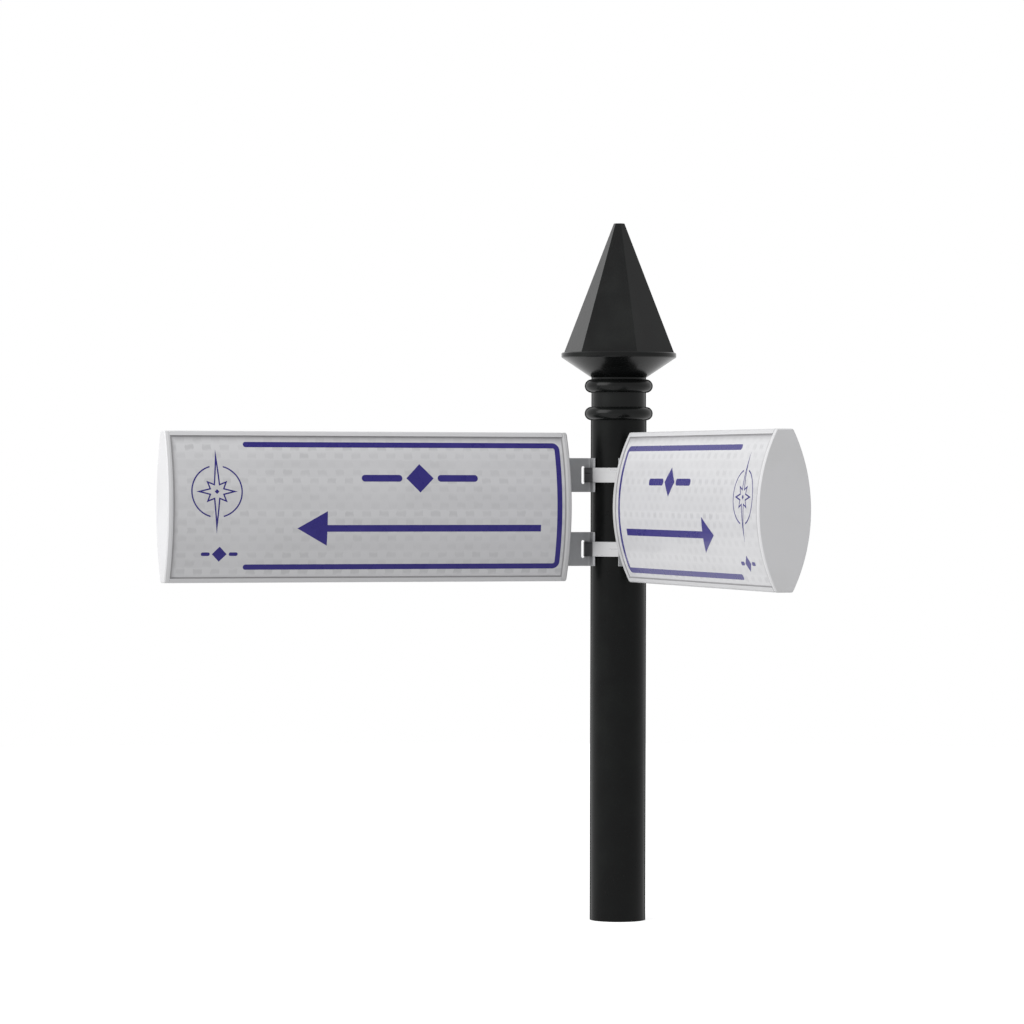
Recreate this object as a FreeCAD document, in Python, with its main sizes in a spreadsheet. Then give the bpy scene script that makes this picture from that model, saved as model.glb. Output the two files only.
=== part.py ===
import FreeCAD, Part
import math
import os

import Sketcher

# Street name sign: a round post with a cast spire on top, and two double-sided
# sign boxes at a right angle, each held to the post by two strapped brackets.
# Millimetres. Origin at the centre of the post's lower end, +Z up. The left
# sign runs out along -X and the right sign along -Y.

# Driving dimensions
SIZES = [
    ("post_diameter", 76.2),
    ("post_wall", 3.2),
    ("post_above_signs", 17.45),
    ("running_clearance", 0.1),
    ("spigot_length", 55.0),
    ("spigot_seat_wall", 2.6),
    ("neck_diameter", 74.7),
    ("bead_radius", 9.15),
    ("bead_spacing", 37.6),
    ("neck_top_length", 2.25),
    ("bell_height", 26.7),
    ("bell_diameter", 154.0),
    ("rim_diameter", 157.0),
    ("rim_thickness", 7.4),
    ("rim_edge_chamfer", 1.25),
    ("spire_base_radius", 76.7),
    ("spire_tip_radius", 7.4),
    ("spire_height", 176.6),
    ("core_wall", 6.0),
    ("core_shoulder_radius", 42.0),
    ("core_shoulder_rise", 4.0),
    ("spire_solid_tip", 25.0),
    ("set_screw_diameter", 8.0),
    ("set_screw_length", 5.5),
    ("set_screw_socket", 4.0),
    ("set_screw_socket_depth", 3.0),
    ("set_screw_drop", 24.0),
    ("sign_centre_height", 564.5),
    ("sign_gap", 40.1),
    ("sign_length", 560.0),
    ("sign_height", 202.0),
    ("sign_thickness", 70.0),
    ("sign_flat", 22.0),
    ("corner_radius", 3.4),
    ("rail_lip", 6.0),
    ("lip_thickness", 1.7),
    ("rail_web", 2.5),
    ("rail_leg_length", 12.0),
    ("rail_leg_thickness", 1.6),
    ("port_diameter", 11.0),
    ("port_depth", 7.4),
    ("panel_thickness", 1.5),
    ("sheeting_thickness", 0.3),
    ("cap_length", 7.5),
    ("cap_plate", 3.0),
    ("cap_chamfer", 1.5),
    ("cap_bevel_length", 2.5),
    ("cap_bevel_depth", 0.8),
    ("tie_rod_diameter", 5.0),
    ("tie_rod_grip", 5.0),
    ("tie_head_diameter", 8.5),
    ("tie_head_height", 2.8),
    ("bracket_thickness", 3.0),
    ("bracket_height", 46.2),
    ("bracket_bend_radius", 3.0),
    ("bracket_flange", 13.0),
    ("bracket_foot", 22.0),
    ("bracket_spacing", 100.8),
    ("bracket_drop", 7.0),
    ("slot_width", 5.0),
    ("slot_height", 24.5),
    ("slot_web", 4.8),
    ("bolt_diameter", 6.0),
    ("bolt_head_width", 10.0),
    ("bolt_head_height", 4.0),
    ("nut_height", 5.0),
    ("bolt_offset", 13.0),
    ("bolt_spacing", 24.0),
    ("strap_width", 20.0),
    ("strap_thickness", 0.8),
    ("buckle_height", 23.0),
    ("buckle_thickness", 1.5),
    ("buckle_angle", 34.0),
]

# Set screws stand on the side of the post that faces away from both signs.
SET_SCREW_ANGLES = (25.0, 115.0)
BUCKLE_DIRECTION = 45.0

# Per sign: direction from the post, turn about Z, and the local side that faces the viewer.
SIGNS = {
    "left": {"x": -1, "y": 0, "turn": 180, "front": 1},
    "right": {"x": 0, "y": -1, "turn": -90, "front": -1},
}
LEVELS = {"upper": 1, "lower": -1}

doc = FreeCAD.newDocument("street_name_sign")
sheet = doc.addObject("Spreadsheet::Sheet", "Sizes")
for row, (alias, size) in enumerate(SIZES, start=1):
    sheet.set("A%d" % row, alias)
    sheet.set("B%d" % row, str(size))
    sheet.setAlias("B%d" % row, alias)
doc.recompute()

SUB_PARTS = []


# Expressions that several sub-parts share
def size(alias):
    return "Sizes.%s" % alias


def number(text):
    return float(sheet.evalExpression(text))


POST_RADIUS = "(Sizes.post_diameter / 2)"
HALF_HEIGHT = "(Sizes.sign_height / 2)"
SAGITTA = "((Sizes.sign_thickness - Sizes.sign_flat) / 2)"
FACE_RADIUS = "((%s^2 + %s^2) / (2 * %s))" % (HALF_HEIGHT, SAGITTA, SAGITTA)
LIP_RADIUS = "(%s - Sizes.lip_thickness)" % FACE_RADIUS
SHEETING_RADIUS = "(%s - Sizes.running_clearance)" % LIP_RADIUS
PANEL_RADIUS = "(%s - Sizes.sheeting_thickness)" % SHEETING_RADIUS
GROOVE_RADIUS = "(%s - Sizes.panel_thickness - Sizes.running_clearance)" % PANEL_RADIUS
LEG_RADIUS = "(%s - Sizes.rail_leg_thickness)" % GROOVE_RADIUS
PANEL_EDGE = "(%s - Sizes.rail_web - Sizes.running_clearance)" % HALF_HEIGHT
WEB_LEVEL = "(%s - Sizes.rail_web)" % HALF_HEIGHT
PORT_LEVEL = "(%s - Sizes.port_depth)" % HALF_HEIGHT
POST_HEIGHT = "(Sizes.sign_centre_height + %s + Sizes.post_above_signs)" % HALF_HEIGHT
SIGN_START = "(%s + Sizes.sign_gap)" % POST_RADIUS
RAIL_LENGTH = "(Sizes.sign_length - 2 * Sizes.cap_length)"
CAP_DEPTH = "(Sizes.cap_length - Sizes.cap_plate)"
ROD_RADIUS = "(Sizes.tie_rod_diameter / 2)"
ROD_BORE = "(%s + 2 * Sizes.running_clearance)" % ROD_RADIUS
BOLT_HOLE = "(Sizes.bolt_diameter / 2 + 2 * Sizes.running_clearance)"
BEND_OUTER = "(Sizes.bracket_bend_radius + Sizes.bracket_thickness)"
BEND_SIDE = "(Sizes.bracket_thickness / 2 + Sizes.bracket_bend_radius)"
FLANGE_START = "(sqrt((%s + %s + Sizes.running_clearance)^2 - %s^2) - %s)" % (
    POST_RADIUS, BEND_OUTER, BEND_SIDE, BEND_OUTER)
SLOT_START = "(%s + %s + Sizes.slot_web)" % (FLANGE_START, BEND_OUTER)


def across(radius, level):
    """Distance of a face from the sign's middle plane, at a height above its centre."""
    return "(Sizes.sign_thickness / 2 - %s + sqrt(%s^2 - %s^2))" % (FACE_RADIUS, radius, level)


def minus(text):
    return "(-%s)" % text


def across_flats(width):
    """Corner radius of a hexagon with this width across its flats."""
    return "(%s / sqrt(3))" % width


# Sketch helpers
def origin_plane(body, role):
    for feature in body.Origin.OriginFeatures:
        if feature.Role == role:
            return feature
    raise RuntimeError("no origin plane " + role)


def new_body(label):
    body = doc.addObject("PartDesign::Body", label)
    body.Label = label
    SUB_PARTS.append(body)
    return body


def new_sketch(body, name, role, offset="0", turn=0):
    """Sketch on a plane of the body, turned about the sketch's own Y, then moved out along its normal."""
    sketch = body.newObject("Sketcher::SketchObject", name)
    sketch.AttachmentSupport = [(origin_plane(body, role), "")]
    sketch.MapMode = "FlatFace"
    turned = FreeCAD.Rotation(FreeCAD.Vector(0, 1, 0), turn)
    sketch.AttachmentOffset = FreeCAD.Placement(FreeCAD.Vector(), turned)
    sketch.setExpression("AttachmentOffset.Base.x", "%s * sin(%d deg)" % (offset, turn))
    sketch.setExpression("AttachmentOffset.Base.z", "%s * cos(%d deg)" % (offset, turn))
    return sketch


def bind(sketch, kind, place, text):
    """Adds a constraint whose value follows the expression."""
    index = sketch.addConstraint(Sketcher.Constraint(kind, *place, number(text)))
    sketch.setExpression("Constraints[%d]" % index, text)


def draw_circle(sketch, x, y, radius):
    centre = FreeCAD.Vector(number(x), number(y), 0)
    circle = sketch.addGeometry(Part.Circle(centre, FreeCAD.Vector(0, 0, 1), number(radius)))
    bind(sketch, "Radius", (circle,), radius)
    bind(sketch, "DistanceX", (-1, 1, circle, 3), x)
    bind(sketch, "DistanceY", (-1, 1, circle, 3), y)


def arc_between(start, end, radius, left):
    """Minor arc from start to end, with its centre to the left or right of the way."""
    chord = end - start
    rise = math.sqrt(radius * radius - chord.Length ** 2 / 4)
    normal = FreeCAD.Vector(-chord.y, chord.x, 0) * (rise / chord.Length)
    centre = (start + end) * 0.5 + (normal if left else -normal)
    circle = Part.Circle(centre, FreeCAD.Vector(0, 0, 1), radius)
    first, last = (start, end) if left else (end, start)
    angles = [math.atan2(p.y - centre.y, p.x - centre.x) for p in (first, last)]
    return Part.ArcOfCircle(circle, angles[0], angles[1])


def draw_outline(sketch, corners):
    """Closed outline. A corner is (x, y), or (x, y, radius, side) where an arc leaves it."""
    points = [FreeCAD.Vector(number(c[0]), number(c[1]), 0) for c in corners]
    ends = []
    for i, corner in enumerate(corners):
        start, end = points[i], points[(i + 1) % len(points)]
        if len(corner) == 2:
            edge = sketch.addGeometry(Part.LineSegment(start, end))
            ends.append((edge, 1, 2))
            continue
        left = corner[3] == "left"
        edge = sketch.addGeometry(arc_between(start, end, number(corner[2]), left))
        ends.append((edge, 1, 2) if left else (edge, 2, 1))
    for i, corner in enumerate(corners):
        edge, first, last = ends[i]
        following = ends[(i + 1) % len(ends)]
        sketch.addConstraint(Sketcher.Constraint("Coincident", edge, last, following[0], following[1]))
        bind(sketch, "DistanceX", (-1, 1, edge, first), corner[0])
        bind(sketch, "DistanceY", (-1, 1, edge, first), corner[1])
        if len(corner) == 4:
            bind(sketch, "Radius", (edge,), corner[2])


def draw_hexagon(sketch, x, y, radius, start):
    corners = []
    for corner in range(6):
        angle = 60 * corner + start
        corners.append(("%s + %s * cos(%d deg)" % (x, radius, angle),
                        "%s + %s * sin(%d deg)" % (y, radius, angle)))
    draw_outline(sketch, corners)


def draw_belt(sketch, rounds):
    """Taut loop round circles (x, y, radius), given anticlockwise, as arcs and tangent lines."""
    circles = [(FreeCAD.Vector(number(x), number(y), 0), number(r)) for x, y, r in rounds]
    angles = []
    for i, (centre, radius) in enumerate(circles):
        other, far_radius = circles[(i + 1) % len(circles)]
        way = other - centre
        angles.append(math.atan2(way.y, way.x) - math.acos((radius - far_radius) / way.Length))
    arcs = []
    for i, (centre, radius) in enumerate(circles):
        start = angles[i - 1]
        end = start + (angles[i] - start) % (2 * math.pi)
        circle = Part.Circle(centre, FreeCAD.Vector(0, 0, 1), radius)
        arcs.append(sketch.addGeometry(Part.ArcOfCircle(circle, start, end)))
        bind(sketch, "DistanceX", (-1, 1, arcs[-1], 3), rounds[i][0])
        bind(sketch, "DistanceY", (-1, 1, arcs[-1], 3), rounds[i][1])
        bind(sketch, "Radius", (arcs[-1],), rounds[i][2])
    for i, arc in enumerate(arcs):
        following = arcs[(i + 1) % len(arcs)]
        start = sketch.getPoint(arc, 2)
        end = sketch.getPoint(following, 1)
        line = sketch.addGeometry(Part.LineSegment(start, end))
        sketch.addConstraint(Sketcher.Constraint("Tangent", arc, 2, line, 1))
        sketch.addConstraint(Sketcher.Constraint("Tangent", line, 2, following, 1))


# Feature helpers
def pad(body, sketch, length, midplane=False):
    feature = body.newObject("PartDesign::Pad", sketch.Name + "_pad")
    feature.Profile = sketch
    feature.setExpression("Length", length)
    feature.Midplane = midplane
    sketch.Visibility = False
    return feature


def pocket(body, sketch, length, upward=False, midplane=False):
    """Cuts into the solid, against the sketch's normal unless upward is set."""
    doc.recompute()
    before = body.Shape.Volume
    feature = body.newObject("PartDesign::Pocket", sketch.Name + "_pocket")
    feature.Profile = sketch
    feature.setExpression("Length", length)
    feature.Reversed = upward
    feature.Midplane = midplane
    doc.recompute()
    if not 0.2 * before < feature.Shape.Volume < before:
        raise RuntimeError("wrong cut by " + feature.Name)
    return feature


def revolve(body, sketch, kind):
    feature = body.newObject("PartDesign::" + kind, sketch.Name + "_turned")
    feature.Profile = sketch
    feature.ReferenceAxis = (sketch, ["V_Axis"])
    feature.Angle = 360
    sketch.Visibility = False
    return feature


def dress(body, kind, name, radius, choose):
    """Fillet or chamfer on the edges that choose() picks from the body's last feature."""
    doc.recompute()
    base = body.Tip
    edges = ["Edge%d" % (i + 1) for i, edge in enumerate(base.Shape.Edges) if choose(edge)]
    if not edges:
        raise RuntimeError("no edge for " + name)
    feature = body.newObject("PartDesign::" + kind, name)
    feature.Base = (base, edges)
    feature.setExpression("Radius" if kind == "Fillet" else "Size", radius)
    return feature


# Placement helpers
def place(body, level="0", turn=0):
    body.Placement.Rotation = FreeCAD.Rotation(FreeCAD.Vector(0, 0, 1), turn)
    body.setExpression("Placement.Base.z", level)


def place_on_sign(body, side, distance="0", level="0", reverse=False, flip=False):
    """Puts a piece drawn along +X on a sign, at a distance from the post's axis."""
    sign = SIGNS[side]
    rotation = FreeCAD.Rotation(FreeCAD.Vector(0, 0, 1), sign["turn"])
    if reverse:
        rotation = rotation * FreeCAD.Rotation(FreeCAD.Vector(0, 0, 1), 180)
    if flip:
        rotation = rotation * FreeCAD.Rotation(FreeCAD.Vector(1, 0, 0), 180)
    body.Placement.Rotation = rotation
    body.setExpression("Placement.Base.x", "%d * %s" % (sign["x"], distance))
    body.setExpression("Placement.Base.y", "%d * %s" % (sign["y"], distance))
    body.setExpression("Placement.Base.z", "Sizes.sign_centre_height + %s" % level)


# Post and spire
SCREW_LEVEL = "(%s - Sizes.set_screw_drop)" % POST_HEIGHT
SCREW_FOOT = "(%s - Sizes.set_screw_length - Sizes.running_clearance)" % POST_RADIUS
SCREW_HOLE = "(Sizes.set_screw_diameter / 2 + Sizes.running_clearance)"
SPIGOT_RADIUS = "(%s - Sizes.spigot_seat_wall - Sizes.running_clearance)" % POST_RADIUS


def make_post():
    body = new_body("post_tube")
    ring = new_sketch(body, "post_ring", "XY_Plane")
    draw_circle(ring, "0", "0", POST_RADIUS)
    draw_circle(ring, "0", "0", POST_RADIUS + " - Sizes.post_wall")
    pad(body, ring, POST_HEIGHT)
    seat = new_sketch(body, "spigot_seat", "XY_Plane", POST_HEIGHT)
    draw_circle(seat, "0", "0", POST_RADIUS + " - Sizes.spigot_seat_wall")
    pocket(body, seat, "Sizes.spigot_length + 1")
    for angle in SET_SCREW_ANGLES:
        hole = new_sketch(body, "screw_hole_%d" % angle, "YZ_Plane", turn=angle)
        draw_circle(hole, "0", SCREW_LEVEL, SCREW_HOLE)
        pocket(body, hole, size("post_diameter"), upward=True)


def make_finial():
    body = new_body("spire_finial")
    neck = "(Sizes.neck_diameter / 2)"
    bead = size("bead_radius")
    bulge = "(%s + %s)" % (neck, bead)
    second = size("bead_spacing")
    bell_foot = "(%s + 2 * %s + Sizes.neck_top_length)" % (second, bead)
    rim_foot = "(%s + Sizes.bell_height)" % bell_foot
    rim_top = "(%s + Sizes.rim_thickness)" % rim_foot
    tip = "(%s + Sizes.spire_height)" % rim_top
    rim = "(Sizes.rim_diameter / 2)"
    edge = size("rim_edge_chamfer")
    profile = new_sketch(body, "turned_profile", "XZ_Plane")
    draw_outline(profile, [
        ("0", "-Sizes.spigot_length"),
        (SPIGOT_RADIUS, "-Sizes.spigot_length"),
        (SPIGOT_RADIUS, "0"),
        (neck, "0", bead, "left"),
        (bulge, bead, bead, "left"),
        (neck, "2 * " + bead),
        (neck, second, bead, "left"),
        (bulge, "%s + %s" % (second, bead), bead, "left"),
        (neck, "%s + 2 * %s" % (second, bead)),
        (neck, bell_foot),
        ("Sizes.bell_diameter / 2", rim_foot),
        ("%s - %s" % (rim, edge), rim_foot),
        (rim, "%s + %s" % (rim_foot, edge)),
        (rim, "%s - %s" % (rim_top, edge)),
        ("%s - %s" % (rim, edge), rim_top),
        ("0", rim_top),
    ])
    revolve(body, profile, "Revolution")
    hexagons = []
    for name, radius, level in (
        ("spire_base", size("spire_base_radius"), rim_top),
        ("spire_tip", size("spire_tip_radius"), tip),
    ):
        hexagon = new_sketch(body, name, "XY_Plane", level)
        draw_hexagon(hexagon, "0", "0", radius, -90)
        hexagons.append(hexagon)
    spire = body.newObject("PartDesign::AdditiveLoft", "spire")
    spire.Profile = hexagons[0]
    spire.Sections = [hexagons[1]]
    spire.Ruled = True
    core = new_sketch(body, "casting_core", "XZ_Plane")
    draw_outline(core, [
        ("0", "-Sizes.spigot_length"),
        ("%s - Sizes.core_wall" % SPIGOT_RADIUS, "-Sizes.spigot_length"),
        ("%s - Sizes.core_wall" % SPIGOT_RADIUS, bell_foot),
        ("Sizes.core_shoulder_radius", "%s + Sizes.core_shoulder_rise" % rim_foot),
        ("0", "%s - Sizes.spire_solid_tip" % tip),
    ])
    revolve(body, core, "Groove")
    for angle in SET_SCREW_ANGLES:
        seat = new_sketch(body, "screw_seat_%d" % angle, "YZ_Plane", SCREW_FOOT, angle)
        draw_circle(seat, "0", minus(size("set_screw_drop")), SCREW_HOLE)
        pocket(body, seat, POST_RADIUS, upward=True)
    place(body, POST_HEIGHT)


def make_set_screws():
    body = new_body("finial_set_screws")
    for angle in SET_SCREW_ANGLES:
        shank = new_sketch(body, "screw_shank_%d" % angle, "YZ_Plane", POST_RADIUS, angle)
        draw_circle(shank, "0", "0", "Sizes.set_screw_diameter / 2")
        pad(body, shank, size("set_screw_length")).Reversed = True
        socket = new_sketch(body, "screw_socket_%d" % angle, "YZ_Plane", POST_RADIUS, angle)
        draw_hexagon(socket, "0", "0", across_flats("Sizes.set_screw_socket"), 0)
        pocket(body, socket, size("set_screw_socket_depth"))
    place(body, SCREW_LEVEL)


# Sign box
def sign_section(radius, level):
    """Closed section of two arched faces and two flats, at a height each way from the middle."""
    low = minus(level)
    wide = across(radius, level)
    narrow = minus(wide)
    return [(wide, low, radius, "left"), (wide, level), (narrow, level, radius, "left"), (narrow, low)]


def round_corners(body, name, count):
    """Rounds the long edges where the arched faces meet the flats."""
    height = number(HALF_HEIGHT)

    def is_corner(edge):
        box = edge.BoundBox
        return box.ZLength < 0.01 and box.YLength < 0.01 and abs(abs(box.ZMin) - height) < 0.01

    feature = dress(body, "Fillet", name, size("corner_radius"), is_corner)
    if len(feature.Base[1]) != count:
        raise RuntimeError("corners missed on " + body.Label)


def make_rail(side, name, flip):
    body = new_body("%s_%s_rail" % (side, name))
    lip = "(%s - Sizes.rail_lip)" % HALF_HEIGHT
    leg = "(%s - Sizes.rail_leg_length)" % WEB_LEVEL
    port = "(Sizes.port_diameter / 2)"
    neck = "sqrt(%s^2 - (%s - %s)^2)" % (port, WEB_LEVEL, PORT_LEVEL)
    near = [
        (across(FACE_RADIUS, lip), lip, FACE_RADIUS, "left"),
        (across(FACE_RADIUS, HALF_HEIGHT), HALF_HEIGHT),
    ]
    far = [
        (minus(across(FACE_RADIUS, HALF_HEIGHT)), HALF_HEIGHT, FACE_RADIUS, "left"),
        (minus(across(FACE_RADIUS, lip)), lip),
        (minus(across(LIP_RADIUS, lip)), lip, LIP_RADIUS, "right"),
        (minus(across(LIP_RADIUS, WEB_LEVEL)), WEB_LEVEL),
        (minus(across(GROOVE_RADIUS, WEB_LEVEL)), WEB_LEVEL, GROOVE_RADIUS, "left"),
        (minus(across(GROOVE_RADIUS, leg)), leg),
        (minus(across(LEG_RADIUS, leg)), leg, LEG_RADIUS, "right"),
        (minus(across(LEG_RADIUS, WEB_LEVEL)), WEB_LEVEL),
        (minus(neck), WEB_LEVEL, port, "left"),
        ("0", "%s - %s" % (PORT_LEVEL, port), port, "left"),
        (neck, WEB_LEVEL),
        (across(LEG_RADIUS, WEB_LEVEL), WEB_LEVEL, LEG_RADIUS, "right"),
        (across(LEG_RADIUS, leg), leg),
        (across(GROOVE_RADIUS, leg), leg, GROOVE_RADIUS, "left"),
        (across(GROOVE_RADIUS, WEB_LEVEL), WEB_LEVEL),
        (across(LIP_RADIUS, WEB_LEVEL), WEB_LEVEL, LIP_RADIUS, "right"),
        (across(LIP_RADIUS, lip), lip),
    ]
    section = new_sketch(body, body.Label + "_section", "YZ_Plane")
    draw_outline(section, near + far)
    draw_circle(section, "0", PORT_LEVEL, ROD_BORE)
    pad(body, section, RAIL_LENGTH)
    round_corners(body, body.Label + "_corners", 2)
    place_on_sign(body, side, "(%s + Sizes.cap_length)" % SIGN_START, flip=flip)


def make_sheet(side, name, outside, inside, flip):
    """Curved sheet held under the lips of the rails and the skirts of the end caps."""
    body = new_body("%s_%s" % (side, name))
    low = minus(PANEL_EDGE)
    section = new_sketch(body, body.Label + "_section", "YZ_Plane")
    draw_outline(section, [
        (across(outside, PANEL_EDGE), low, outside, "left"),
        (across(outside, PANEL_EDGE), PANEL_EDGE),
        (across(inside, PANEL_EDGE), PANEL_EDGE, inside, "right"),
        (across(inside, PANEL_EDGE), low),
    ])
    inset = "(Sizes.cap_plate + Sizes.running_clearance)"
    pad(body, section, "Sizes.sign_length - 2 * " + inset)
    place_on_sign(body, side, "(%s + %s)" % (SIGN_START, inset), flip=flip)


def make_end_cap(side, name, distance, inner):
    body = new_body("%s_%s_end_cap" % (side, name))
    outline = new_sketch(body, body.Label + "_outline", "YZ_Plane")
    draw_outline(outline, sign_section(FACE_RADIUS, HALF_HEIGHT))
    pad(body, outline, size("cap_length"))
    round_corners(body, body.Label + "_corners", 4)

    def at(edge, position):
        box = edge.BoundBox
        return box.XLength < 0.01 and abs(box.XMin - position) < 0.01

    dress(body, "Chamfer", body.Label + "_chamfer", size("cap_chamfer"), lambda edge: at(edge, 0))
    length = number(size("cap_length"))
    bevel = dress(body, "Chamfer", body.Label + "_bevel", size("cap_bevel_length"),
                  lambda edge: at(edge, length))
    bevel.ChamferType = "Two distances"
    bevel.setExpression("Size2", size("cap_bevel_depth"))
    hollow = new_sketch(body, body.Label + "_hollow", "YZ_Plane", size("cap_length"))
    draw_outline(hollow, sign_section(LIP_RADIUS, WEB_LEVEL))
    pocket(body, hollow, CAP_DEPTH)
    bosses = new_sketch(body, body.Label + "_bosses", "YZ_Plane", size("cap_plate"))
    for level in (PORT_LEVEL, minus(PORT_LEVEL)):
        draw_circle(bosses, "0", level, "Sizes.port_diameter / 2")
    pad(body, bosses, CAP_DEPTH)
    bores = new_sketch(body, body.Label + "_bores", "YZ_Plane", "0" if inner else size("cap_length"))
    for level in (PORT_LEVEL, minus(PORT_LEVEL)):
        draw_circle(bores, "0", level, ROD_BORE)
    if not inner:
        pocket(body, bores, "(Sizes.tie_rod_grip + 0.5)")
        place_on_sign(body, side, distance, reverse=True)
        return
    for y, z in bolt_positions(side):
        draw_circle(bores, y, z, BOLT_HOLE)
    pocket(body, bores, "(Sizes.cap_length + 1)", upward=True)
    place_on_sign(body, side, distance)


def make_tie_rod(side, name, level):
    body = new_body("%s_%s_tie_rod" % (side, name))
    shank = new_sketch(body, body.Label + "_shank", "YZ_Plane")
    draw_circle(shank, "0", "0", ROD_RADIUS)
    pad(body, shank, "Sizes.sign_length - Sizes.cap_length + Sizes.tie_rod_grip")
    head = new_sketch(body, body.Label + "_head", "YZ_Plane")
    draw_circle(head, "0", "0", "Sizes.tie_head_diameter / 2")
    pad(body, head, size("tie_head_height")).Reversed = True
    place_on_sign(body, side, SIGN_START, level)


# Brackets, bolts and straps
def bracket_level(name):
    return "(%d * Sizes.bracket_spacing / 2 - Sizes.bracket_drop)" % LEVELS[name]


def bolt_positions(side):
    """Two bolts in the foot of each bracket, on the side away from the viewer."""
    y = "(%d * Sizes.bolt_offset)" % -SIGNS[side]["front"]
    places = []
    for name in LEVELS:
        for step in (-1, 1):
            places.append((y, "(%s + %d * Sizes.bolt_spacing / 2)" % (bracket_level(name), step)))
    return places


def make_bracket(side, name):
    body = new_body("%s_%s_bracket" % (side, name))
    thickness = size("bracket_thickness")
    half = "(Sizes.bracket_thickness / 2)"
    inner = size("bracket_bend_radius")
    front_bend = "(%s + %s)" % (FLANGE_START, BEND_OUTER)
    foot_bend = "(%s - %s)" % (SIGN_START, BEND_OUTER)
    profile = new_sketch(body, body.Label + "_profile", "XY_Plane")
    draw_outline(profile, [
        (FLANGE_START, size("bracket_flange")),
        ("%s + %s" % (FLANGE_START, thickness), size("bracket_flange")),
        ("%s + %s" % (FLANGE_START, thickness), BEND_SIDE, inner, "left"),
        (front_bend, half),
        (foot_bend, half, BEND_OUTER, "right"),
        (SIGN_START, minus(BEND_SIDE)),
        (SIGN_START, minus(size("bracket_foot"))),
        ("%s - %s" % (SIGN_START, thickness), minus(size("bracket_foot"))),
        ("%s - %s" % (SIGN_START, thickness), minus(BEND_SIDE), inner, "left"),
        (foot_bend, minus(half)),
        (front_bend, minus(half), BEND_OUTER, "right"),
        (FLANGE_START, BEND_SIDE),
    ])
    pad(body, profile, size("bracket_height"), midplane=True)
    slot = new_sketch(body, body.Label + "_slot", "XZ_Plane")
    middle = "(%s + Sizes.slot_width / 2)" % SLOT_START
    end = "(%s + Sizes.slot_width)" % SLOT_START
    top = "(Sizes.slot_height / 2)"
    turn = "(Sizes.slot_width / 2)"
    side_top = "(%s - %s)" % (top, turn)
    draw_outline(slot, [
        (SLOT_START, minus(side_top), turn, "left"),
        (middle, minus(top), turn, "left"),
        (end, minus(side_top)),
        (end, side_top, turn, "left"),
        (middle, top, turn, "left"),
        (SLOT_START, side_top),
    ])
    pocket(body, slot, "2 * " + thickness, midplane=True)
    holes = new_sketch(body, body.Label + "_holes", "YZ_Plane", SIGN_START)
    for step in (-1, 1):
        draw_circle(holes, minus(size("bolt_offset")), "%d * Sizes.bolt_spacing / 2" % step, BOLT_HOLE)
    pocket(body, holes, thickness)
    place_on_sign(body, side, level=bracket_level(name), flip=SIGNS[side]["front"] < 0)


def make_bracket_bolts(side):
    body = new_body("%s_bracket_bolts" % side)
    thickness = size("bracket_thickness")
    shanks = new_sketch(body, body.Label + "_shanks", "YZ_Plane", minus(thickness))
    heads = new_sketch(body, body.Label + "_heads", "YZ_Plane", minus(thickness))
    nuts = new_sketch(body, body.Label + "_nuts", "YZ_Plane", size("cap_plate"))
    width = across_flats(size("bolt_head_width"))
    for y, z in bolt_positions(side):
        draw_circle(shanks, y, z, "Sizes.bolt_diameter / 2")
        draw_hexagon(heads, y, z, width, 0)
        draw_hexagon(nuts, y, z, width, 30)
    pad(body, shanks, "%s + Sizes.cap_plate + Sizes.nut_height" % thickness)
    pad(body, heads, size("bolt_head_height")).Reversed = True
    pad(body, nuts, size("nut_height"))
    place_on_sign(body, side, SIGN_START)


def make_strap(name):
    """Stainless band round the back of the post, through the slots and over the flanges."""
    body = new_body("%s_strap" % name)
    half = "(Sizes.bracket_thickness / 2)"
    flange = "(%s + Sizes.bracket_thickness)" % FLANGE_START
    corners = [
        (minus(SLOT_START), half),
        (minus(SLOT_START), minus(half)),
        (minus(flange), minus(size("bracket_flange"))),
        (minus(size("bracket_flange")), minus(flange)),
        (minus(half), minus(SLOT_START)),
        (half, minus(SLOT_START)),
    ]
    band = new_sketch(body, body.Label + "_path", "XY_Plane")
    for offset in (size("running_clearance"), "(Sizes.running_clearance + Sizes.strap_thickness)"):
        rounds = [("0", "0", "%s + %s" % (POST_RADIUS, offset))]
        rounds += [(x, y, offset) for x, y in corners]
        draw_belt(band, rounds)
    pad(body, band, size("strap_width"), midplane=True)
    place(body, "Sizes.sign_centre_height + " + bracket_level(name))


def make_buckle(name):
    """Seal folded round the band's lapped ends, on the post's far side."""
    body = new_body("%s_buckle" % name)
    inside = "(%s + Sizes.running_clearance)" % POST_RADIUS
    channel = "(%s + Sizes.strap_thickness + Sizes.running_clearance)" % inside
    outside = "(%s + Sizes.buckle_thickness)" % channel
    angle = "Sizes.buckle_angle * 0.5 deg"
    outline = new_sketch(body, body.Label + "_outline", "XY_Plane")
    draw_outline(outline, [
        ("%s * cos(%s)" % (inside, angle), "-%s * sin(%s)" % (inside, angle)),
        ("%s * cos(%s)" % (outside, angle), "-%s * sin(%s)" % (outside, angle), outside, "left"),
        ("%s * cos(%s)" % (outside, angle), "%s * sin(%s)" % (outside, angle)),
        ("%s * cos(%s)" % (inside, angle), "%s * sin(%s)" % (inside, angle), inside, "right"),
    ])
    pad(body, outline, size("buckle_height"), midplane=True)
    cut = new_sketch(body, body.Label + "_channel", "XY_Plane")
    draw_circle(cut, "0", "0", channel)
    pocket(body, cut, "Sizes.strap_width + 2 * Sizes.running_clearance", midplane=True)
    place(body, "Sizes.sign_centre_height + " + bracket_level(name), BUCKLE_DIRECTION)


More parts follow.
